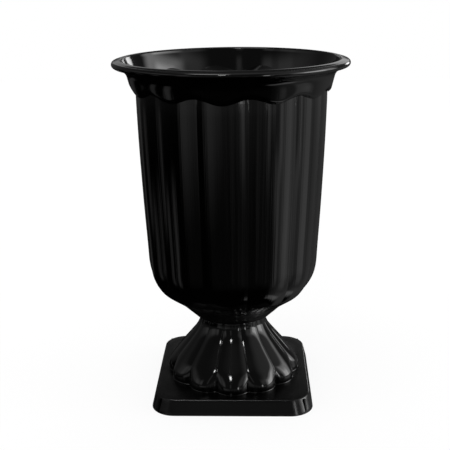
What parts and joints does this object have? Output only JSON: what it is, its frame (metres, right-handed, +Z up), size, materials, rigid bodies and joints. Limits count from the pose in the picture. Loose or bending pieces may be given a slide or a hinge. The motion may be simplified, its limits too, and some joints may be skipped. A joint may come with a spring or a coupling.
{
  "type": "footed urn planter",
  "caption": "Tall lobed planter bowl with a flared rim and scalloped collar, clamped by a bolt and wing nut to a fluted pedestal with a square plinth.",
  "frame": {"origin": "middle of the plinth's underside, on the floor", "axes": "+Z up along the vase's axis; -Y is the front, square to one side of the plinth"},
  "size_m": [0.2823, 0.2824, 0.42],
  "materials": {
    "bowl": "glossy black moulded plastic",
    "pedestal": "glossy black moulded plastic",
    "clamp_plastic": "satin black nylon",
    "seal_rubber": "matt black rubber",
    "washer_steel": "zinc-plated steel"
  },
  "bodies": {
    "foot": {"pedestal": "pedestal"},
    "clamp": {"clamp_bolt": "clamp_plastic", "seal_washer": "seal_rubber"},
    "bowl": {"bowl": "bowl"},
    "washer": {"flat_washer": "washer_steel"},
    "nut": {"wing_nut": "clamp_plastic"}
  },
  "joints": [
    {"name": "bowl_lift", "type": "slide", "parent": "foot", "child": "clamp", "axis": [0, 0, 1], "range_m": [0, 0.06]},
    {"name": "bowl_turn", "type": "hinge", "parent": "clamp", "child": "bowl", "pos_m": [0, 0, 0.0993], "axis": [0, 0, 1], "continuous": true},
    {"name": "nut_travel", "type": "slide", "parent": "foot", "child": "washer", "axis": [0, 0, -1], "range_m": [0, 0.012]},
    {"name": "nut_spin", "type": "hinge", "parent": "washer", "child": "nut", "pos_m": [0, 0, 0.0853], "axis": [0, 0, -1], "range_deg": [0, 1440]}
  ],
  "couplings": [
    {"joint": "nut_travel", "follows": "nut_spin", "m_per_rad": 0.00047746}
  ]
}
